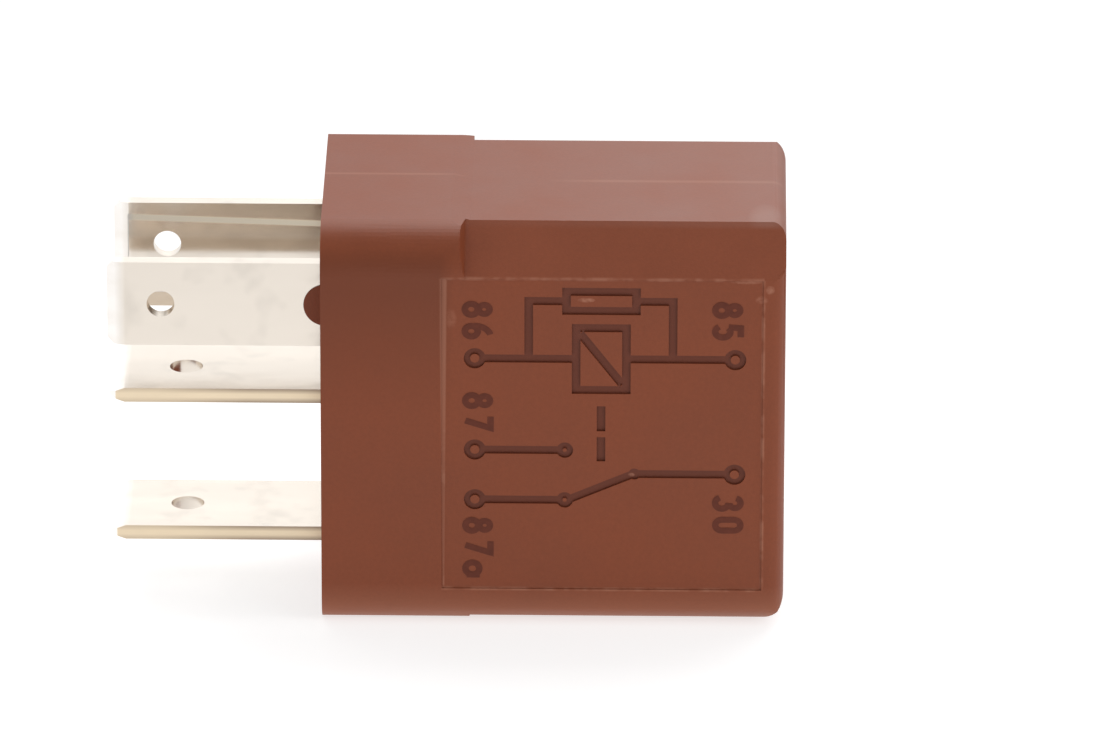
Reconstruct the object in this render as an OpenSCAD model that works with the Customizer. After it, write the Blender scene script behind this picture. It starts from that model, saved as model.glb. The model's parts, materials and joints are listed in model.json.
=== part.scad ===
// Plug-in micro relay: changeover contact, five blades, resistor across the coil.
// Every piece is drawn with the relay standing on its blades: x across the width,
// y into the depth (the marked face looks along -y), z up to the closed end, and
// z = 0 on the rim that meets the socket. lying() then lays it on its right side.

/* [Housing] */
// Width over the flange
body_w = 22.8; // [22:0.1:26]
// Depth over the flange
body_d = 15.3; // [14.8:0.1:18]
// Height from the rim to the closed end
body_h = 25; // [24.6:0.1:32]
// Height of the flange
flange_h = 7.5; // [5:0.1:10]
// How far the sides and back stand in above the flange
cap_step = 0.18; // [0.05:0.01:0.3]
// Height of the slope from the flange to the sides
step_slope = 1; // [0.4:0.05:1.2]
// Wall thickness of the cap
wall = 0.9; // [0.7:0.05:1]
// Radius of the flange's upright corner under the bevel
bevel_corner_r = 2.4; // [1.5:0.05:2.5]
// Radius of the flange's other upright corner at the marked face
front_r = 1.7; // [1.5:0.05:2]
// Radius of the same corners above the flange
cap_front_r = 1.4; // [1:0.05:1.4]
// Radius of the upright corners of the back
back_r = 0.7; // [0.4:0.05:1.2]
// Radius of the closed end towards the marked face
end_r = 0.8; // [0.3:0.05:0.9]
// Radius of the closed end towards the back
end_back_r = 1.7; // [0.5:0.05:1.8]
// Radius of the closed end towards the bevelled side
end_left_r = 0.75; // [0.3:0.05:0.9]
// Radius of the closed end towards the other side
end_right_r = 1.7; // [0.5:0.05:1.8]
// Width of the bevel beside the marked face, across the relay
bevel_w = 2.3; // [1.5:0.1:2.6]
// Depth of the same bevel
bevel_d = 2.8; // [1.5:0.1:3]
// Recess of the base inside the rim
base_recess = 0.25; // [0.1:0.05:0.5]
// Thickness of the base
base_t = 2.55; // [2:0.05:3]
// Gap between the base and the cap
base_gap = 0.04; // [0.02:0.01:0.1]

/* [Marked panel] */
// Width of the recessed panel
panel_w = 18.1; // [16:0.1:18.6]
// Height of the recessed panel
panel_h = 17.3; // [15.4:0.1:17.6]
// Height of the panel's lower edge over the rim
panel_z = 6.5; // [6:0.1:6.8]
// Depth of the panel
panel_t = 0.08; // [0.04:0.01:0.2]
// Width of an engraved line
line_w = 0.46; // [0.3:0.02:0.6]
// Depth of an engraved line under the panel
line_t = 0.14; // [0.05:0.01:0.3]

/* [Blades] */
// Length of the blades below the rim
blade_l = 11.6; // [8:0.1:14]
// Thickness of the sheet
blade_t = 0.8; // [0.6:0.05:0.9]
// Width of the load blades 30 and 87
load_w = 6.3; // [5.5:0.1:6.4]
// Width of the coil blades and of 87a
coil_w = 4.8; // [4.4:0.1:5]
// Length of the bevel at a blade's tip
tip_l = 0.8; // [0.4:0.05:1.2]
// Thickness left at the tip
tip_t = 0.22; // [0.1:0.02:0.4]
// Corner cut at the tip
tip_corner = 0.35; // [0.1:0.05:0.6]
// Latch hole in a load blade
load_hole_d = 1.8; // [1.2:0.1:2]
// Latch hole in a coil blade
coil_hole_d = 1.5; // [1.2:0.1:2]
// Tip to latch hole on a load blade
load_hole_at = 4.05; // [3:0.05:5]
// Tip to latch hole on a coil blade
coil_hole_at = 2.9; // [2.5:0.05:4]
// Hole where blade 86 enters the base
root_hole_d = 2.4; // [1.5:0.1:2.6]
// Height of that hole's centre over the rim
root_hole_z = 0.2; // [0:0.05:0.3]
// Blade 30 from the middle of the width, to the left
blade_30_x = 0.15; // [0:0.05:0.4]
// Spacing from blade 30 to blade 87
load_pitch = 8.1; // [7.9:0.05:8.2]
// Spacing from blade 30 to the blades of the coil
coil_pitch = 6; // [5.8:0.05:6.2]
// Spacing from blade 30 to blade 87a
change_pitch = 5.35; // [5.3:0.05:5.5]
// Front and back edges to the middle of the coil blades
coil_margin = 3.35; // [3.2:0.05:3.45]
// Gap round a blade in its slot
slot_gap = 0.04; // [0.02:0.01:0.08]
// Gap round a riveted or pressed shank
fit_gap = 0.01; // [0.01:0.005:0.03]

/* [Magnet] */
// Thickness of the yoke
yoke_t = 1.25; // [1:0.05:1.3]
// Width of the yoke's upright leg
yoke_w = 9.2; // [8:0.1:10]
// Width of the yoke's lower leg
yoke_foot_w = 7; // [5:0.1:7.2]
// Space between the base and the yoke
yoke_lift = 1.5; // [1.3:0.05:1.6]
// Gap behind the yoke, to the cap
yoke_back_gap = 0.8; // [0.7:0.05:0.9]
// Gap between the bobbin's square flanges and the cap, front and back
bobbin_gap = 0.75; // [0.7:0.05:0.9]
// How far the bobbin's flanges stand out over the winding
bobbin_lip = 0.4; // [0.3:0.05:1]
// Wall of the bobbin's tube
tube_wall = 0.7; // [0.5:0.05:0.9]
// Thickness of a bobbin flange
bobbin_t = 0.8; // [0.6:0.05:1]
// Diameter of the core
core_d = 4.4; // [3.5:0.1:5]
// Diameter of the core's pole plate
pole_d = 8; // [6:0.1:9]
// Thickness of the pole plate
pole_t = 1; // [0.8:0.05:1.2]
// Thickness of the armature
armature_t = 1.2; // [0.9:0.05:1.3]
// Air gap left when the armature is pulled in
closed_gap = 0.03; // [0.02:0.01:0.05]

/* [Contacts] */
// Angle that the armature lifts when the coil is off
lift_deg = 2.2; // [1.2:0.1:2.6]
// Distance of the contacts from the relay's centre plane
contact_x = 6.8; // [6.4:0.1:7]
// Thickness of the contact spring
spring_t = 0.15; // [0.1:0.01:0.2]
// Width of the spring at the contact
spring_tip_w = 3.4; // [2.8:0.1:4]
// Length of the spring's leg behind the yoke
spring_leg = 5; // [3:0.1:7]
// Gap between that leg and the yoke at rest
leg_gap = 0.07; // [0.07:0.01:0.12]
// Diameter of the contact heads
contact_d = 2.6; // [2:0.1:2.8]
// Height of a moving contact head
contact_t = 0.5; // [0.35:0.05:0.6]
// Height of a fixed contact head
fixed_contact_t = 0.6; // [0.45:0.05:0.7]
// Diameter of the contact shanks
shank_d = 1.2; // [0.8:0.1:1.4]
// Gap left between contacts that touch
touch_gap = 0.02; // [0.01:0.01:0.04]
// Rest of a fixed contact's shank beyond its plate
shank_rest = 0.2; // [0.1:0.05:0.3]
// Space between the upper fixed contact and the cap's ceiling
top_gap = 0.8; // [0.4:0.05:1.5]

/* [Resistor] */
// Diameter of the resistor
resistor_d = 2.3; // [1.6:0.1:2.4]
// Length of the resistor
resistor_l = 6.3; // [4:0.1:7]
// Diameter of its leads
lead_d = 0.5; // [0.4:0.05:0.55]
// Diameter of the winding wire
wire_d = 0.24; // [0.16:0.02:0.3]

/* [Hidden] */
$fn = 48;
e = 0.01; // overlap that keeps a cut from ending on a face
bend_swell = 1.06; // fullness of a wire's bend against its run
bevel_reach = 4; // how far the bevel's cut reaches outwards
step_fall = 1.2; // fall of the bevel's lower end over that reach

housing_brown = [0.47, 0.27, 0.2];
tin = [0.86, 0.84, 0.8];
iron = [0.62, 0.63, 0.65];
bobbin_green = [0.2, 0.3, 0.28];
copper = [0.72, 0.38, 0.2];
spring_bronze = [0.75, 0.55, 0.34];
silver = [0.85, 0.86, 0.87];
resistor_blue = [0.35, 0.5, 0.62];

base_top = base_recess + base_t;
cavity_w = body_w - 2 * wall;
cavity_d = body_d - 2 * wall;
cavity_h = body_h - wall;

// Blade positions, left of the middle is negative
x_30 = -blade_30_x;
x_87 = x_30 + load_pitch;
x_coil = x_30 - coil_pitch;
x_87a = x_30 - change_pitch;

coil_spread = body_d - 2 * coil_margin;

// Magnet
bobbin_w = cavity_d - 2 * bobbin_gap;
winding_d = bobbin_w - 2 * bobbin_lip;
tube_d = core_d + 2 * tube_wall;
yoke_back = -cavity_w / 2 + yoke_back_gap;
yoke_front = yoke_back + yoke_t;
yoke_z = base_top + yoke_lift;
bobbin_z = yoke_z + yoke_t;
winding_z = bobbin_z + bobbin_t;
reach = contact_x - yoke_back;
moving_rise = closed_gap + armature_t + spring_t + contact_t; // moving contact's top over the pole
winding_h = cavity_h - top_gap - shank_rest - blade_t - fixed_contact_t - touch_gap
    - reach * sin(lift_deg) - moving_rise * cos(lift_deg) - pole_t - bobbin_t - winding_z;
bobbin_top = winding_z + winding_h + bobbin_t;
pole_z = bobbin_top + pole_t;
bobbin_side_gap = 0.25;
bobbin_r = 1.5; // corners of the bobbin's flanges
coil_x = yoke_front + bobbin_side_gap + bobbin_w / 2;
weld_gap = 0.02;
tab_margin = 0.1; // sheet beyond a contact head
foot_end = 1.3; // yoke's lower leg beyond the core

// Moving group, drawn pulled in and then lifted about the yoke's upper back edge
armature_z = pole_z + closed_gap;
spring_z = armature_z + armature_t;
armature_over = 0.6; // armature beyond the pole plate
armature_end = coil_x + pole_d / 2 + armature_over;
spring_end = contact_x + contact_d / 2 + tab_margin;
rivet_x = [coil_x - 2 * shank_d, coil_x + 1.5 * shank_d];
rivet_head_d = shank_d * 1.65;
rivet_head_t = 0.35;
spring_w = yoke_w * 0.67;

// Contacts
moving_top = pole_z + moving_rise;
moving_bottom = spring_z - contact_t;
lifted_top = pole_z + reach * sin(lift_deg) + moving_rise * cos(lift_deg);
no_tab_z = moving_bottom - touch_gap - fixed_contact_t;
nc_arm_z = lifted_top + touch_gap + fixed_contact_t;
tab_w = 4;
crown_r = 4;

// Blade 87a's way round the coil to the contact above the spring
run_w = 1.9;
run_gap = 0.75; // to the cap's back wall
run_y = [cavity_d / 2 - run_gap - run_w, cavity_d / 2 - run_gap];
riser_x = cavity_w / 2 - 0.4;

// Coil posts and leads
post_w = 1.2;
post_top = bobbin_z - 0.5;
post_x = x_coil - coil_w / 2 + 0.95;
post_y = coil_spread / 2 + blade_t / 2;
lead_z = base_top + 1.6;
lead_side = cavity_d / 2 - lead_d / 2 - 0.03; // leads run just inside the cap
resistor_x = (coil_x + bobbin_w / 2 + x_87 - blade_t / 2) / 2;
resistor_z = winding_z + 1.4;

// ---------- helpers ----------

module lying() rotate([0, 90, 0]) children();

// The four-sided piece outside a corner's arc, with the corner at the origin
// and the material toward +x +y.
module corner_waste(r) {
    difference() {
        translate([-1, -1]) square([r + 1, r + 1]);
        translate([r, r]) circle(r);
        translate([r, -2]) square([r + 2, 2 * r + 4]);
        translate([-2, r]) square([2 * r + 4, r + 2]);
    }
}

// Outline of a rectangle in plan, with the radii of its front left, front right
// and back corners.
module plan_outline(w, d, r_left, r_right, r_back) {
    difference() {
        square([w, d], center = true);
        translate([-w / 2, -d / 2]) corner_waste(r_left);
        translate([w / 2, -d / 2]) mirror([1, 0]) corner_waste(r_right);
        translate([-w / 2, d / 2]) mirror([0, 1]) corner_waste(r_back);
        translate([w / 2, d / 2]) rotate(180) corner_waste(r_back);
    }
}

// Outline of the flange from lo to hi, seen along a side: its top slopes inwards by
// cap_step at hi, and also at lo unless the lo side is flush.
module flange_outline(lo, hi, flush_lo) {
    z0 = flange_h - step_slope / 2;
    z1 = flange_h + step_slope / 2;
    in_lo = flush_lo ? 0 : cap_step;
    polygon([[lo, 0], [hi, 0], [hi, z0], [hi - cap_step, z1], [lo + in_lo, z1], [lo, z0]]);
}

// Outline of the upper part from lo to hi, rounded by its own radius at each end of
// the closed end.
module end_outline(lo, hi, r_lo, r_hi) {
    difference() {
        translate([lo, 0]) square([hi - lo, body_h]);
        translate([hi, body_h]) rotate(180) corner_waste(r_hi);
        translate([lo, body_h]) mirror([0, 1]) corner_waste(r_lo);
    }
}

// Views across the width and into the depth, as solids.
module across() rotate([90, 0, 0]) linear_extrude(body_d + 2, center = true) children();

module into_depth() rotate([90, 0, 90]) linear_extrude(body_w + 2, center = true) children();

// Wedge that cuts the bevel beside the marked face. `depth_in` moves the bevel's
// plane inwards, and the lower end falls outwards from z0 to z0 - drop.
module bevel_cut(depth_in, z0, z1, drop) {
    angle = atan2(bevel_w, bevel_d);
    mid = [-body_w / 2 + cap_step + bevel_w / 2, -body_d / 2 + bevel_d / 2];
    translate([mid[0], mid[1], 0]) rotate([0, 0, 180 + angle])
        translate([-depth_in, 0, 0]) rotate([90, 0, 0])
            linear_extrude(body_d, center = true)
                polygon([[0, z0], [bevel_reach, z0 - drop], [bevel_reach, z1], [0, z1]]);
}

// Sheet-metal strip through the given x-z points, `w` wide along y: flat runs with
// round bends.
module strip(points, t, w) {
    for (i = [0 : len(points) - 2]) {
        a = points[i];
        b = points[i + 1];
        l = norm(b - a);
        translate([a[0], 0, a[1]]) rotate([0, -atan2(b[1] - a[1], b[0] - a[0]), 0])
            translate([0, -w / 2, -t / 2]) cube([l, w, t]);
    }
    if (len(points) > 2)
        for (i = [1 : len(points) - 2])
            translate([points[i][0], 0, points[i][1]]) rotate([90, 0, 0])
                cylinder(h = w, d = t, center = true);
}

// Round wire through the given points, with the bends a touch fuller than the wire.
module wire(points, d) {
    for (i = [0 : len(points) - 2]) {
        v = points[i + 1] - points[i];
        l = norm(v);
        translate(points[i])
            rotate([0, acos(v[2] / l), atan2(v[1], v[0])])
                cylinder(h = l, d = d);
    }
    if (len(points) > 2)
        for (i = [1 : len(points) - 2]) translate(points[i]) sphere(d = d * bend_swell);
}

// One blade hanging from z = 0: `w` wide along x, its faces along y, with the tip
// bevelled on both faces, cut corners and a latch hole.
module blade(w, top, hole_d, hole_at) {
    tip = -blade_l;
    difference() {
        intersection() {
            rotate([90, 0, 90]) linear_extrude(w, center = true)
                polygon([[-tip_t / 2, tip], [tip_t / 2, tip],
                         [blade_t / 2, tip + tip_l], [blade_t / 2, top],
                         [-blade_t / 2, top], [-blade_t / 2, tip + tip_l]]);
            rotate([90, 0, 0]) linear_extrude(blade_t + 1, center = true)
                polygon([[-w / 2 + tip_corner, tip], [w / 2 - tip_corner, tip],
                         [w / 2, tip + tip_corner], [w / 2, top],
                         [-w / 2, top], [-w / 2, tip + tip_corner]]);
        }
        translate([0, 0, tip + hole_at]) rotate([90, 0, 0])
            cylinder(h = blade_t + 1, d = hole_d, center = true);
    }
}

// Places a blade's children with its face across the width (load blades).
module edge_on(x) translate([x, 0, 0]) rotate([0, 0, 90]) children();

// Contact head with a low crown, base at z = 0, and its shank below.
module crown_rivet(head_t, shank_l) {
    intersection() {
        cylinder(h = head_t, d = contact_d);
        translate([0, 0, head_t - crown_r]) sphere(crown_r);
    }
    translate([0, 0, -shank_l]) cylinder(h = shank_l + e, d = shank_d);
}

// Lifts the armature's group from pulled in to its place at rest.
module at_rest()
    translate([yoke_back, 0, pole_z]) rotate([0, -lift_deg, 0])
        translate([-yoke_back, 0, -pole_z]) children();

// ---------- housing ----------

// The circuit as engraved lines, drawn on the panel in x-z with z up.
module ring_mark(d) {
    difference() {
        circle(d = d + ring_line);
        circle(d = d - ring_line);
    }
}

module bar(a, b) {
    l = norm(b - a);
    translate(a) rotate(atan2(b[1] - a[1], b[0] - a[0]))
        translate([-line_w / 2, -line_w / 2]) square([l + line_w, line_w]);
}

coil_row = -4.3;   // x of the coil's line
make_row = 1.03;   // x of the line to 87
break_row = 3.95;  // x of the line to 87a
common_row = 2.4;  // x of the line to 30
low_ring = 8.3;    // height of the rings of 86, 87 and 87a
high_ring = 22.3;  // height of the rings of 85 and 30
ring_d = 0.84;
ring_line = 0.34;
dot_d = 0.56;  // centre line of the contacts' rings
mark_mid = 15.1;   // height of the symbol's middle
coil_box = [3.6, 2.7];
loop_row = -7.65;  // x of the resistor's line
resistor_box = [1.1, 3.75];
loop_z = [11.2, 18.95];
arm_end = 13.4;
pivot_z = 16.9;

module frame_mark(c, size) {
    translate(c) difference() {
        square([size[0] + line_w, size[1] + line_w], center = true);
        square([size[0] - line_w, size[1] - line_w], center = true);
    }
}

module coil_symbol() {
    h = coil_box[1] / 2;
    frame_mark([coil_row, mark_mid], coil_box);
    bar([coil_row - coil_box[0] / 2 + 0.5, mark_mid - h + 0.35],
        [coil_row + coil_box[0] / 2 - 0.5, mark_mid + h - 0.35]);
    bar([coil_row, low_ring + ring_d / 2 + line_w / 2], [coil_row, mark_mid - h]);
    bar([coil_row, mark_mid + h], [coil_row, high_ring - ring_d / 2 - line_w / 2]);
    for (z = [low_ring, high_ring]) translate([coil_row, z]) ring_mark(ring_d);
}

module resistor_symbol() {
    h = resistor_box[1] / 2;
    frame_mark([loop_row, mark_mid], resistor_box);
    for (s = [0, 1]) {
        bar([coil_row, loop_z[s]], [loop_row, loop_z[s]]);
        bar([loop_row, loop_z[s]], [loop_row, mark_mid + (s == 0 ? -h : h)]);
    }
}

module contact_symbol() {
    for (x = [make_row, break_row]) {
        translate([x, low_ring]) ring_mark(ring_d);
        bar([x, low_ring + ring_d / 2 + line_w / 2], [x, arm_end - 0.68]);
        translate([x, arm_end - 0.25]) ring_mark(dot_d);
    }
    bar([break_row - 0.12, arm_end + 0.16], [common_row + 0.15, pivot_z - 0.4]);
    translate([common_row, pivot_z]) circle(d = line_w * 1.4);
    bar([common_row, pivot_z + 0.2], [common_row, high_ring - ring_d / 2 - line_w / 2]);
    translate([common_row, high_ring]) ring_mark(ring_d);
}

module link_symbol()
    for (x = [[-1.32, -0.32], [0.49, 1.44]])
        bar([x[0], mark_mid], [x[1], mark_mid]);

module panel_cut() {
    front = -body_d / 2;
    translate([-panel_w / 2 + 0.13, front - 1, panel_z])
        cube([panel_w, 1 + panel_t, panel_h]);
    translate([0, front + panel_t + line_t, 0]) rotate([90, 0, 0])
        linear_extrude(line_t + 0.5) {
            coil_symbol();
            resistor_symbol();
            contact_symbol();
            link_symbol();
        }
}

// The space inside the cap, `gap` smaller all round, from z0 up to z1.
module cavity(gap, z0, z1) {
    difference() {
        translate([0, 0, z0]) linear_extrude(z1 - z0)
            plan_outline(cavity_w - 2 * gap, cavity_d - 2 * gap, bevel_corner_r - wall / 2,
                         front_r - wall / 2, back_r / 2);
        bevel_cut(wall + gap, flange_h - wall, z1 + 1, 0);
    }
}

module flange() {
    intersection() {
        linear_extrude(flange_h + step_slope / 2)
            plan_outline(body_w, body_d, bevel_corner_r, front_r, back_r);
        across() flange_outline(-body_w / 2, body_w / 2, false);
        into_depth() flange_outline(-body_d / 2, body_d / 2, true);
    }
}

module upper_part() {
    w = body_w - 2 * cap_step;
    intersection() {
        translate([0, -cap_step / 2, flange_h / 2]) linear_extrude(body_h - flange_h / 2)
            plan_outline(w, body_d - cap_step, cap_front_r, cap_front_r, back_r + 0.1);
        across() end_outline(-w / 2, w / 2, end_left_r, end_right_r);
        into_depth() end_outline(-body_d / 2, body_d / 2 - cap_step, end_r, end_back_r);
    }
}

module cap() {
    color(housing_brown) difference() {
        union() {
            flange();
            upper_part();
        }
        bevel_cut(0, flange_h + step_slope / 4, body_h + 1, step_fall);
        cavity(0, -1, cavity_h);
        panel_cut();
    }
}

module slot(w, t) {
    translate([-w / 2 - slot_gap, -t / 2 - slot_gap, -1])
        cube([w + 2 * slot_gap, t + 2 * slot_gap, base_top + 2]);
}

module base_plate() {
    color(housing_brown) difference() {
        union() {
            cavity(base_gap, base_recess, base_top);
            // ribs that carry the yoke's lower leg
            for (x = [[yoke_back + 0.1, 2], [x_30 - 3, 1.2]], s = [-1, 1])
                translate([x[0], s > 0 ? yoke_foot_w / 2 - 1.2 : -yoke_foot_w / 2, base_top - e])
                    cube([x[1], 1.2, yoke_lift + e - weld_gap]);
        }
        edge_on(x_30) slot(load_w, blade_t);
        edge_on(x_87) slot(load_w, blade_t);
        edge_on(x_87a) slot(coil_w, blade_t);
        for (s = [-1, 1]) translate([x_coil, s * coil_spread / 2, 0]) slot(coil_w, blade_t);
    }
    // lug that fills blade 86's root hole and locks it
    color(housing_brown) translate([x_coil, -coil_spread / 2, root_hole_z]) rotate([90, 0, 0])
        cylinder(h = blade_t + 2 * slot_gap + 2 * e, d = root_hole_d - 2 * fit_gap, center = true);
}

// ---------- terminals ----------

module load_blade(x, top) edge_on(x) blade(load_w, top, load_hole_d, load_hole_at);

module terminal_30() {
    // its upper end is welded to the underside of the yoke's lower leg
    color(tin) load_blade(x_30, yoke_z - weld_gap);
}

module terminal_87() {
    color(tin) {
        load_blade(x_87, base_top);
        difference() {
            strip([[x_87, base_top - e], [x_87, no_tab_z - blade_t / 2],
                   [contact_x - contact_d / 2 - 2 * tab_margin, no_tab_z - blade_t / 2]], blade_t, tab_w);
            translate([contact_x, 0, no_tab_z - blade_t - 1])
                cylinder(h = blade_t + 2, d = shank_d + 2 * fit_gap);
        }
    }
}

module terminal_87a() {
    run_mid = (run_y[0] + run_y[1]) / 2;
    arm_mid = nc_arm_z + blade_t / 2;
    color(tin) {
        edge_on(x_87a) blade(coil_w, base_top + blade_t, coil_hole_d, coil_hole_at);
        translate([x_87a - blade_t / 2, 0, base_top]) cube([blade_t * 2, run_y[1], blade_t]);
        translate([0, run_mid, 0])
            strip([[x_87a, base_top + blade_t / 2], [riser_x - blade_t / 2, base_top + blade_t / 2],
                   [riser_x - blade_t / 2, arm_mid], [contact_x - contact_d / 2 - 2 * tab_margin, arm_mid]],
                  blade_t, run_w);
        difference() {
            translate([contact_x - contact_d / 2 - 2 * tab_margin, -tab_w / 2, nc_arm_z])
                cube([contact_d + 4 * tab_margin, run_y[0] + tab_w / 2 + e, blade_t]);
            translate([lifted_contact_x(), 0, nc_arm_z - 1]) cylinder(h = blade_t + 2, d = shank_d + 2 * fit_gap);
        }
    }
}

// Where the moving contact's upper face lies across the width when lifted.
function lifted_contact_x() =
    yoke_back + reach * cos(lift_deg) - moving_rise * sin(lift_deg);

module coil_terminal(s) {
    color(tin) {
        difference() {
            translate([x_coil, s * coil_spread / 2, 0])
                blade(coil_w, base_top, coil_hole_d, coil_hole_at);
            if (s < 0) translate([x_coil, s * coil_spread / 2, root_hole_z]) rotate([90, 0, 0])
                cylinder(h = blade_t + 1, d = root_hole_d, center = true);
        }
        // post that takes the winding's end and the resistor's lead
        translate([post_x - post_w / 2, s * coil_spread / 2 - blade_t / 2, base_top - e])
            cube([post_w, blade_t, post_top - base_top + e]);
    }
}

module terminal_85() coil_terminal(1);

module terminal_86() coil_terminal(-1);

// ---------- magnet ----------

module yoke() {
    color(iron) difference() {
        union() {
            translate([yoke_back, -yoke_w / 2, yoke_z])
                cube([yoke_t, yoke_w, pole_z - yoke_z]);
            translate([yoke_back, -yoke_foot_w / 2, yoke_z])
                cube([coil_x + core_d / 2 + foot_end - yoke_back, yoke_foot_w, yoke_t]);
        }
        translate([coil_x, 0, yoke_z - 1]) cylinder(h = yoke_t + 2, d = core_d + 2 * fit_gap);
        // round outside of the bend
        translate([yoke_back, 0, yoke_z]) rotate([90, 0, 0])
            linear_extrude(yoke_w + 1, center = true) corner_waste(yoke_t * 0.7);
    }
}

module magnet_core() {
    color(iron) union() {
        translate([coil_x, 0, yoke_z]) cylinder(h = pole_z - yoke_z - e, d = core_d);
        translate([coil_x, 0, bobbin_top]) cylinder(h = pole_t, d = pole_d);
    }
}

module bobbin_flange(z) {
    translate([coil_x, 0, z]) linear_extrude(bobbin_t)
        plan_outline(bobbin_w, bobbin_w, bobbin_r, bobbin_r, bobbin_r);
}

module coil_bobbin() {
    color(bobbin_green) difference() {
        union() {
            bobbin_flange(bobbin_z);
            bobbin_flange(winding_z + winding_h);
            translate([coil_x, 0, bobbin_z]) cylinder(h = bobbin_top - bobbin_z, d = tube_d);
        }
        translate([coil_x, 0, bobbin_z - 1])
            cylinder(h = bobbin_top - bobbin_z + 2, d = core_d + 2 * slot_gap);
    }
}

module coil_winding() {
    inner = tube_d / 2;
    outer = winding_d / 2;
    turns = 24;
    pitch = winding_h / turns;
    color(copper) translate([coil_x, 0, winding_z]) rotate_extrude() union() {
        translate([inner, 0]) square([outer - pitch / 2 - inner, winding_h]);
        for (i = [0 : turns - 1])
            translate([outer - pitch / 2, (i + 0.5) * pitch]) circle(d = pitch, $fn = 24);
    }
}

module coil_leads() {
    side = bobbin_w / 2 + wire_d / 2;
    start_z = winding_z + wire_d * 4;
    end_z = post_top - wire_d;
    color(copper) for (s = [-1, 1])
        wire([[coil_x, s * (winding_d / 2 - wire_d / 4), start_z],
              [coil_x - wire_d * 4, s * side, start_z - wire_d],
              [coil_x - wire_d * 8, s * side, end_z],
              [post_x, s * (post_y + wire_d / 2), end_z]], wire_d);
}

// ---------- moving group ----------

module armature() {
    half = yoke_w / 2;
    end_half = pole_d / 2 - 0.2;
    color(iron) at_rest() difference() {
        translate([0, 0, armature_z]) linear_extrude(armature_t)
            polygon([[yoke_back, -half], [yoke_back + 2.2, -half], [armature_end, -end_half],
                     [armature_end, end_half], [yoke_back + 2.2, half], [yoke_back, half]]);
        for (x = rivet_x) translate([x, 0, armature_z - 1]) cylinder(h = armature_t + 2, d = shank_d + 2 * fit_gap);
    }
}

module contact_spring() {
    wide = spring_w;
    back = yoke_back - leg_gap - spring_t;
    color(spring_bronze) {
        at_rest() difference() {
            translate([0, 0, spring_z]) linear_extrude(spring_t)
                polygon([[back, -wide / 2], [rivet_x[1] + 1, -wide / 2],
                         [armature_end + 1, -spring_tip_w / 2], [spring_end, -spring_tip_w / 2],
                         [spring_end, spring_tip_w / 2], [armature_end + 1, spring_tip_w / 2],
                         [rivet_x[1] + 1, wide / 2], [back, wide / 2]]);
            for (x = [rivet_x[0], rivet_x[1], contact_x])
                translate([x, 0, spring_z - 1]) cylinder(h = spring_t + 2, d = shank_d + 2 * fit_gap);
        }
        // leg behind the yoke, upright at rest
        translate([back, -wide / 2, pole_z - spring_leg])
            cube([spring_t, wide, spring_leg + spring_z - pole_z + spring_t / 2]);
    }
}

module spring_rivets() {
    top = spring_z + spring_t;
    color(iron) at_rest() for (x = rivet_x) translate([x, 0, 0]) {
        translate([0, 0, armature_z]) cylinder(h = top - armature_z, d = shank_d);
        translate([0, 0, top - e / 10]) cylinder(h = rivet_head_t, d = rivet_head_d);
    }
}

module moving_contact() {
    color(silver) at_rest() translate([contact_x, 0, 0]) {
        translate([0, 0, moving_bottom]) cylinder(h = moving_top - moving_bottom, d = shank_d);
        translate([0, 0, moving_bottom]) cylinder(h = contact_t, d = contact_d - 0.2);
        translate([0, 0, spring_z + spring_t]) cylinder(h = contact_t, d = contact_d - 0.2);
    }
}

module fixed_contact_87() {
    color(silver) translate([contact_x, 0, no_tab_z]) crown_rivet(fixed_contact_t, blade_t + shank_rest);
}

module fixed_contact_87a() {
    color(silver) translate([lifted_contact_x(), 0, nc_arm_z]) mirror([0, 0, 1])
        crown_rivet(fixed_contact_t, blade_t + shank_rest);
}

// ---------- resistor ----------

module suppression_resistor() {
    l = resistor_l;
    cap_l = 1.2;
    color(resistor_blue) translate([resistor_x, 0, resistor_z]) rotate([90, 0, 0]) union() {
        cylinder(h = l, d = resistor_d - 0.3, center = true);
        for (s = [-1, 1]) translate([0, 0, s * (l - cap_l) / 2])
            cylinder(h = cap_l, d = resistor_d, center = true);
    }
}

module resistor_leads() {
    color(tin) for (s = [-1, 1])
        wire([[resistor_x, s * resistor_l / 2, resistor_z], [resistor_x, s * lead_side, resistor_z],
              [resistor_x, s * lead_side, lead_z], [post_x + post_w * 2, s * lead_side, lead_z],
              [post_x, s * (post_y + lead_d / 2), lead_z]], lead_d);
}

lying() cap();
lying() base_plate();
lying() terminal_30();
lying() terminal_87();
lying() terminal_87a();
lying() terminal_85();
lying() terminal_86();
lying() yoke();
lying() magnet_core();
lying() coil_bobbin();
lying() coil_winding();
lying() coil_leads();
lying() armature();
lying() contact_spring();
lying() spring_rivets();
lying() moving_contact();
lying() fixed_contact_87();
lying() fixed_contact_87a();
lying() suppression_resistor();
lying() resistor_leads();
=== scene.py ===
# Automotive relay lying on its side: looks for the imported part.
# The relay's axis is X with the blades at -X, the marked face is -Y, and +Z is up.
import json
import math

import bpy
from mathutils import Matrix, Vector


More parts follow.
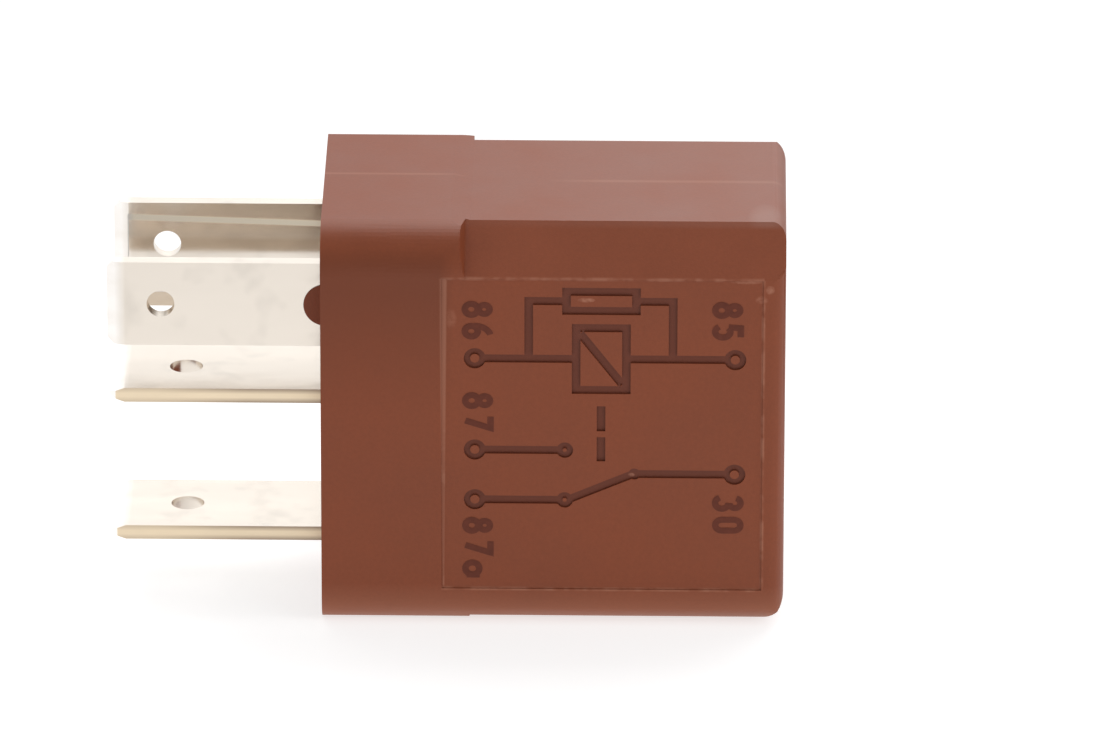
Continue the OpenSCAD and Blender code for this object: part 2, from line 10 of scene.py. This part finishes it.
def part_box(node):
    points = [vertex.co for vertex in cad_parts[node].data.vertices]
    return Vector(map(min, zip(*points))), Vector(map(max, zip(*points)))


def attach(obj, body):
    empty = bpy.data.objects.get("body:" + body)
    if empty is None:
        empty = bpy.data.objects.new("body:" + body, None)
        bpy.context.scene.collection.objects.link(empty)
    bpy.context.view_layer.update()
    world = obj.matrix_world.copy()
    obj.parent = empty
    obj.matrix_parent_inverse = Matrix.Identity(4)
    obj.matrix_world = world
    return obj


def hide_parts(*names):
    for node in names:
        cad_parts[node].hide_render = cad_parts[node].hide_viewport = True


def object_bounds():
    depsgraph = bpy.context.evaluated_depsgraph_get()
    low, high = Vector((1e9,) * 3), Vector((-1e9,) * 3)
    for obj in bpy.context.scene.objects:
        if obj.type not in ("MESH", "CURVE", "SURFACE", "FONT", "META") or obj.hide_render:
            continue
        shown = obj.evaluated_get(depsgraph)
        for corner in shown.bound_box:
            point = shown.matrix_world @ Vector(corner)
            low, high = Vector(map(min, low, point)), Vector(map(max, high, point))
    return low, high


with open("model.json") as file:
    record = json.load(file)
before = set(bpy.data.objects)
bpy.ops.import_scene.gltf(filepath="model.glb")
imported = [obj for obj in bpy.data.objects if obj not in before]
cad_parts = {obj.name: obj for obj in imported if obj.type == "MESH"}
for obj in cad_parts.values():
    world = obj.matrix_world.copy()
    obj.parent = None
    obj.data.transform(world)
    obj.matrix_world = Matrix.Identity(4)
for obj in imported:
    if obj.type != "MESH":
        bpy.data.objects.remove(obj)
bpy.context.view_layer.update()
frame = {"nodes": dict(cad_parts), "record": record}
MM = 0.001


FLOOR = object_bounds()[0].z
cap_lo, cap_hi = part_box("cap")
FRONT = cap_lo.y / MM  # the marked face, in millimetres


def place(name, data):
    """A new object in the scene."""
    obj = bpy.data.objects.new(name, data)
    bpy.context.scene.collection.objects.link(obj)
    return obj


# ---------- colours ----------


def lin(r, g, b):
    """sRGB 0-255 to linear."""
    def one(c):
        c /= 255
        return c / 12.92 if c <= 0.04045 else ((c + 0.055) / 1.055) ** 2.4
    return one(r), one(g), one(b), 1.0


def shade(colour, by):
    """The colour made darker, or lighter with a factor over 1."""
    return tuple(min(1.0, c * by) for c in colour[:3]) + (1.0,)


BROWN = lin(130, 65, 38)
BROWN_DARK = lin(92, 44, 30)
# Pale colour: painted highlights on the panel's rim and lower edge, and the scuffs and the parting line
PALE_HIGHLIGHT_AND_WEAR = lin(178, 122, 98)
# Polished plastic, its sheen painted as colour
POLISHED_SHEEN = lin(170, 140, 130)
TIN = lin(227, 218, 207)
# Painted highlight on the blade tips
TIN_TIP_HIGHLIGHT = lin(252, 248, 244)
# Painted highlight along the streak on blade 85
TIN_STREAK_HIGHLIGHT = lin(255, 240, 216)
CUT_EDGE = lin(226, 208, 180)
CUT_DARK = lin(140, 122, 108)
COPPER = lin(196, 108, 66)

# ---------- material helpers ----------


class Nodes:
    """A material under construction."""

    def __init__(self, name):
        self.mat = bpy.data.materials.new(name)
        self.mat.use_nodes = True
        self.tree = self.mat.node_tree
        self.tree.nodes.clear()
        out = self.add("ShaderNodeOutputMaterial")
        self.bsdf = self.add("ShaderNodeBsdfPrincipled")
        self.feed(out.inputs[0], self.bsdf.outputs[0])
        self.coord = self.add("ShaderNodeTexCoord").outputs["Object"]

    def add(self, kind, **props):
        n = self.tree.nodes.new(kind)
        for k, v in props.items():
            setattr(n, k, v)
        return n

    def feed(self, socket, value):
        if isinstance(value, bpy.types.NodeSocket):
            self.tree.links.new(value, socket)
        else:
            socket.default_value = value

    def set(self, **looks):
        for name, value in looks.items():
            self.feed(self.bsdf.inputs[name.replace("_", " ")], value)

    def axes(self):
        n = self.add("ShaderNodeSeparateXYZ")
        self.feed(n.inputs[0], self.coord)
        return n.outputs

    def math(self, op, a, b=0.0):
        n = self.add("ShaderNodeMath", operation=op)
        self.feed(n.inputs[0], a)
        self.feed(n.inputs[1], b)
        return n.outputs[0]

    def plus(self, a, b):
        return self.math("ADD", a, b)

    def minus(self, a, b):
        return self.math("SUBTRACT", a, b)

    def times(self, value, *others):
        for other in others:
            value = self.math("MULTIPLY", value, other)
        return value

    def most(self, value, *others):
        for other in others:
            value = self.math("MAXIMUM", value, other)
        return value

    def noise(self, scale, detail, rough, stretch=(1, 1, 1)):
        m = self.add("ShaderNodeMapping")
        self.feed(m.inputs[0], self.coord)
        m.inputs["Scale"].default_value = stretch
        n = self.add("ShaderNodeTexNoise")
        self.feed(n.inputs["Vector"], m.outputs[0])
        n.inputs["Scale"].default_value = scale
        n.inputs["Detail"].default_value = detail
        n.inputs["Roughness"].default_value = rough
        return n.outputs[0]

    def ramp(self, value, start, end, from_v=0.0, to_v=1.0):
        """Goes from from_v to to_v while value goes from start to end."""
        n = self.add("ShaderNodeMapRange")
        n.clamp = True
        self.feed(n.inputs["Value"], value)
        n.inputs["From Min"].default_value = start
        n.inputs["From Max"].default_value = end
        n.inputs["To Min"].default_value = from_v
        n.inputs["To Max"].default_value = to_v
        return n.outputs[0]

    def mix(self, fac, a, b):
        n = self.add("ShaderNodeMix", data_type="RGBA")
        self.feed(n.inputs[0], fac)
        self.feed(n.inputs[6], a)
        self.feed(n.inputs[7], b)
        return n.outputs[2]

    # The helpers below take places and lengths in millimetres.

    def along(self, value, start, end, from_v=0.0, to_v=1.0):
        return self.ramp(value, start * MM, end * MM, from_v, to_v)

    def distance(self, value, at):
        return self.math("ABSOLUTE", self.minus(value, at * MM))

    def near(self, value, at, half, soft):
        """1 where value is within half of at, falling off over soft."""
        return self.along(self.distance(value, at), half, half + soft, 1.0, 0.0)

    def between(self, value, a, b, soft):
        return self.times(self.along(value, a - soft, a), self.along(value, b, b + soft, 1.0, 0.0))

    def spot(self, u, v, at_u, at_v, half_u, half_v):
        """A soft round spot, 1 in its middle."""
        du = self.times(self.minus(u, at_u * MM), 1 / (half_u * MM))
        dv = self.times(self.minus(v, at_v * MM), 1 / (half_v * MM))
        return self.ramp(self.plus(self.times(du, du), self.times(dv, dv)), 0.2, 1.6, 1.0, 0.0)

    def bump(self, height, strength, depth, normal=None):
        n = self.add("ShaderNodeBump")
        n.inputs["Strength"].default_value = strength
        n.inputs["Distance"].default_value = depth * MM
        self.feed(n.inputs["Height"], height)
        if normal is not None:
            self.feed(n.inputs["Normal"], normal)
        return n.outputs[0]


# ---------- housing ----------

PLASTIC_IOR = 1.35
PANEL_X = (6.5, 23.8)
PANEL_Z = (-9.18, 8.92)
RIM_HALF, RIM_SOFT = 0.05, 0.08  # painted highlight on the panel's edge, except its left
FAINT = 0.45  # strength of that painted highlight
# Depths behind the marked face: its skin, the engraving's start and end, the end of the painted highlight on
# the lower edge
SKIN, ENGRAVED_FROM, ENGRAVED_TO, EDGE_TO = (0.05, 0.5), (0.12, 0.19), (0.4, 0.41), (0.8, 1.8)
# Scuffs on the marked face: x, z, half length along x, half height, strength
SCUFFS = [(22.9, 8.82, 0.75, 0.1, 0.5), (24.15, 8.4, 0.22, 0.22, 0.6), (23.7, 7.8, 0.3, 0.2, 0.4),
          (14.3, 7.72, 0.4, 0.12, 0.7), (16.75, -2.5, 0.16, 0.1, 0.9), (7.0, 6.6, 0.3, 0.5, 0.25)]
# Painted highlight on the lower edge, as if lit from the floor: z over which it starts, and z over which it
# fades out
LOWER_EDGE_Z, LOWER_FADE_Z = (-11.4, -11.2), (-10.9, -8.9)
FLANGE_X = (6.4, 7.2)  # where the flange's front, with its painted shade, ends
UPPER_SIDE_Z = (10.9, 11.1)
# Parting line on the upper side, in two lengths: y, half width, soft edge, from x, to x, soft end
SEAM = [(1.3, 0.06, 0.12, 0, 6, 2), (0.9, 0.05, 0.2, 15, 24, 3)]
SHEEN_SPOT = (23.9, -4.2, 0.8, 1.6)  # polished spot with a painted sheen on the upper side: x, y, half length, half width


def panel_rim_highlight(n, x, z):
    """Painted highlight on the panel's edge: broad and bright at its upper left, broken elsewhere."""
    speck = n.ramp(n.noise(900, 2, 0.7), 0.42, 0.62, 0.15, 1.0)
    in_z = n.between(z, *PANEL_Z, 0.05)
    in_x = n.between(x, *PANEL_X, 0.05)
    reach = n.along(z, -9, 8.6, 0.05 * MM, 0.2 * MM)
    off = n.math("DIVIDE", n.distance(x, PANEL_X[0] + 0.1), reach)
    bright = n.most(n.along(z, -2, 8.6, 0.25, 0.85), n.times(speck, FAINT))
    left = n.times(n.ramp(off, 0.6, 1.2, 1.0, 0.0), in_z, bright)
    right = n.times(n.near(x, PANEL_X[1], RIM_HALF, RIM_SOFT), in_z)
    top = n.times(n.near(z, PANEL_Z[1], RIM_HALF, RIM_SOFT), in_x)
    low = n.times(n.near(z, PANEL_Z[0], RIM_HALF, RIM_SOFT), in_x)
    return n.most(left, n.times(n.most(right, top, low), speck, FAINT))


def marked_face(n, colour, fine, x, y, z):
    """Engraved lines, a painted highlight on the panel's rim, scuffs, a painted highlight on the lower edge
    and painted shade toward the flange's upper corner.
    """
    def behind(depths, from_v=0.0, to_v=1.0):
        start, end = depths
        return n.along(y, FRONT + start, FRONT + end, from_v, to_v)

    front = behind(SKIN, 1.0, 0.0)
    inside = n.times(n.between(x, *PANEL_X, 0.0001), n.between(z, *PANEL_Z, 0.0001))
    deep = n.times(behind(ENGRAVED_FROM), behind(ENGRAVED_TO, 1.0, 0.0), inside)
    colour = n.mix(n.times(deep, 0.7), colour, BROWN_DARK)

    # Painted highlight on the panel's rim, with the scuffs, which are wear, in the same pale colour
    highlight_and_scuffs = panel_rim_highlight(n, x, z)
    broken = n.ramp(fine, 0.35, 0.6, 0.4, 1.0)
    for *where, strength in SCUFFS:
        highlight_and_scuffs = n.most(highlight_and_scuffs, n.times(n.spot(x, z, *where), strength, broken))
    colour = n.mix(n.times(highlight_and_scuffs, front), colour, PALE_HIGHLIGHT_AND_WEAR)

    # Painted highlight: the lower edge paler, as if lit from the floor
    low = n.times(n.along(z, *LOWER_FADE_Z, 0.38, 0.0), n.along(z, *LOWER_EDGE_Z), behind(EDGE_TO, 1.0, 0.0))
    colour = n.mix(low, colour, PALE_HIGHLIGHT_AND_WEAR)
    # Painted shade: the flange's front darker toward its top
    painted_flange_shade = n.times(n.along(z, 1, 8), n.along(x, *FLANGE_X, 1.0, 0.0), front, 0.75)
    return n.mix(painted_flange_shade, colour, shade(BROWN, 0.72))


def upper_side(n, colour, gloss, x, y, z):
    """More shine toward the closed end, the parting line and a polished spot with a painted sheen."""
    up = n.along(z, *UPPER_SIDE_Z)
    n.set(Specular_IOR_Level=n.plus(n.times(up, n.along(x, 2, 25, 0.0, 0.5)), 0.5))
    seam = n.most(*(n.times(n.near(y, at, half, soft), n.between(x, start, end, fade))
                    for at, half, soft, start, end, fade in SEAM))
    colour = n.mix(n.times(seam, up, 0.22), colour, PALE_HIGHLIGHT_AND_WEAR)
    # Polished wear, with its sheen painted as a paler colour
    polish_sheen = n.times(n.spot(x, y, *SHEEN_SPOT), up)
    return n.mix(n.times(polish_sheen, 0.12), colour, POLISHED_SHEEN), n.minus(gloss, n.times(polish_sheen, 0.05))


def housing(name, marked):
    """Brown moulded plastic; `marked` adds what shows on the marked face and on the upper side."""
    n = Nodes(name)
    cloud = n.noise(160, 3, 0.6)
    fine = n.noise(5200, 2, 0.6)
    grain = n.noise(9000, 1.5, 0.5)
    tone = n.plus(n.times(cloud, 0.22), n.times(fine, 0.16))
    colour = n.mix(n.ramp(tone, 0.1, 0.28), shade(BROWN, 0.9), shade(BROWN, 1.1))
    gloss = n.ramp(cloud, 0.3, 0.7, 0.44, 0.54)
    if marked:
        x, y, z = n.axes()
        colour = marked_face(n, colour, fine, x, y, z)
        colour, gloss = upper_side(n, colour, gloss, x, y, z)
    n.set(Base_Color=colour, Roughness=gloss, IOR=PLASTIC_IOR, Normal=n.bump(grain, 0.25, 0.02))
    return n.mat


# ---------- metal ----------

LOAD_W, COIL_W, SHEET_T = 6.3, 4.8, 0.8
# Blades: the axis across the width, the width, and how much brass the sheared sides show
BLADES = {
    "30": ("Y", LOAD_W, 1.0),
    "87": ("Y", LOAD_W, 1.0),
    "87a": ("Y", COIL_W, 0.0),
    "85": ("Z", COIL_W, 0.0),
    "86": ("Z", COIL_W, 0.0),
}
MIDDLES = {m["name"]: [v / MM for v in m["pos_m"]] for m in frame["record"]["mounts"]}
# Streak along blade 85, a bumped ridge with a painted highlight: its height at STREAK_X, and how that
# changes along x
STREAK_X, STREAK_Z, STREAK_SLOPE = -10.4, 7.68, -0.03


def streaked(n, colour, normal, skin, x, y, z):
    """The front of blade 85, at y = skin: a bumped ridge with a painted highlight along it, and painted
    shade above and beneath it.
    """
    line = n.plus(n.times(n.minus(x, STREAK_X * MM), STREAK_SLOPE), STREAK_Z * MM)
    off = n.minus(z, line)
    front = n.along(y, skin, skin + 0.02, 1.0, 0.0)
    face = n.times(front, n.along(x, -10.8, -10.5))
    above = n.times(n.along(off, 0.15, 0.3), n.along(x, -10.6, -1, 0.45, 0.85))
    under = n.times(n.along(off, -0.2, -0.12, 1.0, 0.0), n.along(off, -1.2, -0.2),
                    n.along(x, -8, -1, 0.0, 0.85))
    # Painted shade on blade 85's front above and beneath the streak
    colour = n.mix(n.times(n.plus(above, under), face), colour, shade(TIN, 0.7))
    lit = n.times(n.near(off, 0.02, 0.15, 0.06), n.along(x, -10.6, -3, 0.75, 1.0))
    # Painted highlight along the streak
    colour = n.mix(n.times(lit, face), colour, TIN_STREAK_HIGHLIGHT)
    step = n.times(n.along(off, -0.15, 0.19, 1.0, 0.0), front)
    return colour, n.bump(step, 1.0, 0.31, normal)


def plated(blade):
    """Tin plate with smears, darker spots, a painted highlight at the tip, and brass on the sheared sides,
    which darken toward the sheet's faces.
    """
    wide, width, brass = BLADES[blade]
    _, mid_y, mid_z = MIDDLES[f"blade_{blade}"]
    half_w, half_t = width / 2, SHEET_T / 2
    n = Nodes(f"blade_{blade}_tin")
    x, y, z = n.axes()
    off_y, off_z = n.distance(y, mid_y), n.distance(z, mid_z)
    across, through = (off_y, off_z) if wide == "Y" else (off_z, off_y)

    smear = n.noise(700, 3, 0.6, stretch=(0.25, 1, 1))
    spots = n.ramp(n.noise(420, 2, 0.6), 0.55, 0.75)
    tin = n.mix(n.times(spots, 0.5), TIN, shade(TIN, 0.8))
    # Painted highlight: the blade tips whiter, as if lit
    tip_highlight = n.times(n.along(x, -11.2, -10.6, 1.0, 0.0), n.ramp(smear, 0.3, 0.6, 0.6, 1.0))
    tin = n.mix(tip_highlight, tin, TIN_TIP_HIGHLIGHT)

    cut = n.times(n.along(across, half_w - 0.03, half_w - 0.01), brass)
    # Sheared sides darker toward both faces of the sheet, and more so toward the body
    dark_bands = n.times(n.along(through, half_t * 0.25, half_t * 0.9), n.along(x, -9, -4, 0.35, 0.8))
    edge = n.mix(n.ramp(smear, 0.35, 0.7), CUT_EDGE, shade(CUT_EDGE, 1.12))
    colour = n.mix(cut, tin, n.mix(dark_bands, edge, CUT_DARK))
    rough = n.plus(n.ramp(smear, 0.3, 0.7, 0.17, 0.26), n.times(cut, 0.15))
    normal = n.bump(smear, 0.12, 0.01)
    if blade == "85":
        colour, normal = streaked(n, colour, normal, mid_y - half_t, x, y, z)
    n.set(Base_Color=colour, Metallic=1.0, Roughness=rough, Normal=normal)
    return n.mat


def smeared(name, colour, rough, scale, dark, spread, metallic):
    """One colour with smears that are a little darker and rougher."""
    n = Nodes(name)
    smear = n.noise(scale, 3, 0.6)
    n.set(Base_Color=n.mix(n.ramp(smear, 0.3, 0.7), colour, shade(colour, dark)),
          Roughness=n.ramp(smear, 0.3, 0.7, rough, rough + spread), Metallic=metallic)
    return n.mat


def metal(name, colour, rough):
    return smeared(name, colour, rough, scale=900, dark=0.85, spread=0.12, metallic=1.0)


def plastic(name, colour, rough):
    return smeared(name, colour, rough, scale=700, dark=0.9, spread=0.1, metallic=0.0)


iron = metal("zinc_plated_iron", lin(176, 180, 184), 0.3)
silver = metal("contact_silver", lin(226, 226, 224), 0.25)
bronze = metal("spring_bronze", lin(214, 170, 120), 0.28)
LOOKS = {
    "cap": housing("cap_plastic", True),
    "base_plate": housing("base_plastic", False),
    **{f"terminal_{blade}": plated(blade) for blade in BLADES},
    "yoke": iron,
    "magnet_core": iron,
    "armature": iron,
    "spring_rivets": iron,
    "coil_bobbin": plastic("bobbin_plastic", lin(60, 84, 78), 0.4),
    "coil_winding": metal("copper_wire", COPPER, 0.3),
    "coil_leads": metal("lead_copper", COPPER, 0.3),
    "contact_spring": bronze,
    "moving_contact": silver,
    "fixed_contact_87": silver,
    "fixed_contact_87a": silver,
    "suppression_resistor": plastic("resistor_lacquer", lin(96, 132, 160), 0.25),
    "resistor_leads": metal("lead_tin", lin(214, 214, 212), 0.25),
}
for node, obj in frame["nodes"].items():
    obj.data.materials.clear()
    obj.data.materials.append(LOOKS[node])

# ---------- cap shown without its ledge ----------

CORNER_R = 2.4 * MM  # the flange's upright corner under the bevel
CORNER_STEPS = 16
LEDGE_X = (3.6 * MM, 7.76 * MM)


def corner_cutter():
    """Prism outside the corner's arc, from below the ledge up to the bevel's foot."""
    mid_y, mid_z = cap_lo.y + CORNER_R, cap_hi.z - CORNER_R
    out_y, out_z = cap_lo.y - MM, mid_z + CORNER_R + MM
    turns = [math.radians(90 * i / CORNER_STEPS) for i in range(CORNER_STEPS + 1)]
    outline = [(mid_y - CORNER_R * math.cos(t), mid_z + CORNER_R * math.sin(t)) for t in turns]
    outline += [(mid_y, out_z), (out_y, out_z), (out_y, mid_z)]
    k = len(outline)
    verts = [(x, y, z) for x in LEDGE_X for y, z in outline]
    faces = [tuple(range(k))[::-1], tuple(range(k, 2 * k))]
    faces += [(i, (i + 1) % k, k + (i + 1) % k, k + i) for i in range(k)]
    mesh = bpy.data.meshes.new("corner_cutter")
    mesh.from_pydata(verts, [], faces)
    mesh.update()
    return place("corner_cutter", mesh)


def cap_shell():
    """A copy of the cap with the ledge cut away."""
    cutter = corner_cutter()
    shell = place("cap_shell", frame["nodes"]["cap"].data.copy())
    cut = shell.modifiers.new("cut", "BOOLEAN")
    cut.operation, cut.object, cut.solver = "DIFFERENCE", cutter, "EXACT"
    done = shell.evaluated_get(bpy.context.evaluated_depsgraph_get())
    mesh = bpy.data.meshes.new_from_object(done)
    shell.modifiers.clear()
    shell.data = mesh
    bpy.data.objects.remove(cutter)
    return shell


shell = cap_shell()
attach(shell, "relay_body")
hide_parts("cap")

# ---------- engraved numbers ----------


def arc(cx, cy, rx, ry, a0, a1, steps):
    turns = [math.radians(a0 + (a1 - a0) * i / steps) for i in range(steps + 1)]
    return [(cx + rx * math.cos(t), cy + ry * math.sin(t)) for t in turns]


# Strokes of each character in a box 1 high and about 0.54 wide
GLYPHS = {
    "0": [arc(0.27, 0.71, 0.22, 0.24, 0, 180, 20) + arc(0.27, 0.29, 0.22, 0.24, 180, 360, 20)
          + [(0.49, 0.71)]],
    "3": [arc(0.25, 0.75, 0.2, 0.2, 165, -85, 18), arc(0.25, 0.28, 0.23, 0.24, 90, -160, 18)],
    "5": [[(0.46, 0.96), (0.1, 0.96), (0.07, 0.53)], arc(0.25, 0.32, 0.23, 0.27, 130, -150, 20)],
    "6": [arc(0.47, 0.36, 0.42, 0.6, 100, 178, 12), arc(0.27, 0.28, 0.21, 0.23, 180, 540, 24)],
    "7": [[(0.04, 0.95), (0.5, 0.95), (0.2, 0.05)]],
    "8": [arc(0.27, 0.74, 0.18, 0.19, -90, 270, 24), arc(0.27, 0.28, 0.22, 0.23, 90, 450, 24)],
    "a": [arc(0.27, 0.3, 0.24, 0.25, 0, 360, 24), [(0.52, 0.56), (0.52, 0.1)]],
}
GLYPH_MIDDLE = (0.27, 0.5)
# In millimetres: height of a character, width of a box 1 wide, half a stroke, one character to the next
HEIGHT, WIDTH, STROKE, ADVANCE = 1.85, 1.45, 0.17, 1.27
NUMBER_DEPTH = 0.065  # behind the marked face
STROKE_LIFT = 0.004  # each stroke lies this much over the one before, so that none share a plane
# The middle of each number: x, z
NUMBERS = {
    "86": (8.45, 6.51),
    "85": (21.89, 6.55),
    "87": (8.47, 1.2),
    "87a": (8.47, -6.75),
    "30": (21.97, -4.73),
}

ink = Nodes("engraved_floor")
ink_tone = ink.ramp(ink.noise(2500, 2, 0.6), 0.3, 0.7)
ink.set(Base_Color=ink.mix(ink_tone, BROWN_DARK, shade(BROWN_DARK, 1.25)), Roughness=0.6, IOR=1.3)


def heading(a, b):
    """Direction from a to b, or None when they are one point."""
    return (b - a).normalized() if (b - a).length > 1e-9 else None


def ribbon(points, half):
    """Left and right edges of a stroke through the points."""
    pts = [Vector(p) for p in points]
    closed = (pts[0] - pts[-1]).length < 1e-6
    out = []
    for i, p in enumerate(pts):
        before = pts[i - 1] if i else (pts[-2] if closed else p)
        after = pts[i + 1] if i < len(pts) - 1 else (pts[1] if closed else p)
        a, b = heading(before, p), heading(p, after)
        a, b = a or b, b or a
        along = (a + b).normalized()
        side = Vector((-along.y, along.x))
        grow = 1 / max(0.5, abs(side.dot(Vector((-a.y, a.x)))))
        out.append((p + side * half * grow, p - side * half * grow))
    return out


def stroke_points(stroke):
    """A stroke in millimetres about its character's middle, without points that repeat."""
    pts = []
    for u, v in stroke:
        p = ((u - GLYPH_MIDDLE[0]) * WIDTH, (v - GLYPH_MIDDLE[1]) * (HEIGHT - 2 * STROKE))
        if not pts or (Vector(p) - Vector(pts[-1])).length > 1e-4:
            pts.append(p)
    return pts


def number(text, x, z):
    """Flat dark strokes on the panel's floor, up along +X and read along -Z."""
    verts, faces = [], []
    start = z + ADVANCE * (len(text) - 1) / 2
    for i, character in enumerate(text):
        for s, stroke in enumerate(GLYPHS[character]):
            pts = stroke_points(stroke)
            base = len(verts)
            y = FRONT + NUMBER_DEPTH - s * STROKE_LIFT
            for pair in ribbon(pts, STROKE):
                verts += [((x + q.y) * MM, y * MM, (start - i * ADVANCE - q.x) * MM) for q in pair]
            for a in range(base, base + 2 * (len(pts) - 1), 2):
                faces.append((a, a + 1, a + 3, a + 2))
    name = f"number_{text}"
    mesh = bpy.data.meshes.new(name)
    mesh.from_pydata(verts, [], faces)
    mesh.validate()
    mesh.materials.append(ink.mat)
    obj = place(name, mesh)
    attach(obj, "relay_body")


for text, middle in NUMBERS.items():
    number(text, *middle)

# ---------- stage ----------

GLOW_MIDDLE = 13  # x in millimetres
# The floor's glow: its strength up to the first distance from that middle, and from the second on
GLOW_REACH, GLOW_STRENGTH = (25, 70), (0.69, 0.48)

bpy.ops.mesh.primitive_plane_add(size=6, location=(0, 0, FLOOR))
floor = bpy.context.object
floor.name = "floor"
paper = Nodes("white_floor")
px, py, _ = paper.axes()
px = paper.minus(px, GLOW_MIDDLE * MM)
away = paper.math("SQRT", paper.plus(paper.math("POWER", px, 2.0), paper.math("POWER", py, 2.0)))
paper.set(Base_Color=(0.5, 0.5, 0.5, 1), Roughness=0.9, Specular_IOR_Level=0.0,
          Emission_Color=(1, 1, 1, 1), Emission_Strength=paper.along(away, *GLOW_REACH, *GLOW_STRENGTH))
floor.data.materials.append(paper.mat)

LAMP_AIM = Vector((0.012, 0, 0))


def lamp(name, where, width, height, power):
    data = bpy.data.lights.new(name, "AREA")
    data.shape = "RECTANGLE"
    data.size, data.size_y = width, height
    data.energy = power
    obj = place(name, data)
    obj.location = where
    obj.rotation_mode = "QUATERNION"
    obj.rotation_quaternion = (LAMP_AIM - Vector(where)).to_track_quat("-Z", "Y")


lamp("softbox_back", (0.012, 0.36, 0.55), 0.8, 0.5, 3.3)
lamp("softbox_right", (0.13, -0.09, 0.09), 0.08, 0.08, 0.04)

# Even room light, brighter low behind the relay
world = bpy.data.worlds.new("studio")
bpy.context.scene.world = world
world.use_nodes = True
sky = world.node_tree
sky.nodes.clear()


def sky_node(kind, **inputs):
    n = sky.nodes.new(kind)
    for k, v in inputs.items():
        n.inputs[k.replace("_", " ")].default_value = v
    return n


direction = sky_node("ShaderNodeTexCoord")
split = sky_node("ShaderNodeSeparateXYZ")
band = sky_node("ShaderNodeMapRange", From_Min=0.5, From_Max=0.85, To_Min=0.68, To_Max=1.54)
light = sky_node("ShaderNodeBackground")
sky_out = sky_node("ShaderNodeOutputWorld")
sky.links.new(direction.outputs["Generated"], split.inputs[0])
sky.links.new(split.outputs[1], band.inputs["Value"])
sky.links.new(band.outputs[0], light.inputs["Strength"])
sky.links.new(light.outputs[0], sky_out.inputs[0])

# ---------- camera ----------

CAMERA_AT = Vector((20.475, -607.119, 254.924)) * MM
CAMERA_LOOK = Vector((-0.01209, 0.92221, -0.38650)).normalized()
CAMERA_UP = Vector((-0.00727, 0.38643, 0.92229))

cam_data = bpy.data.cameras.new("camera")
cam_data.sensor_width = 36.0
cam_data.lens = 392.3
cam_data.clip_start, cam_data.clip_end = 0.05, 10
cam = place("camera", cam_data)
right = CAMERA_LOOK.cross(CAMERA_UP).normalized()
up = right.cross(CAMERA_LOOK).normalized()
turn = Matrix((right, up, -CAMERA_LOOK)).transposed().to_4x4()
cam.matrix_world = Matrix.Translation(CAMERA_AT) @ turn

scene = bpy.context.scene
scene.camera = cam
scene.view_settings.view_transform = "Standard"
scene.view_settings.look = "None"
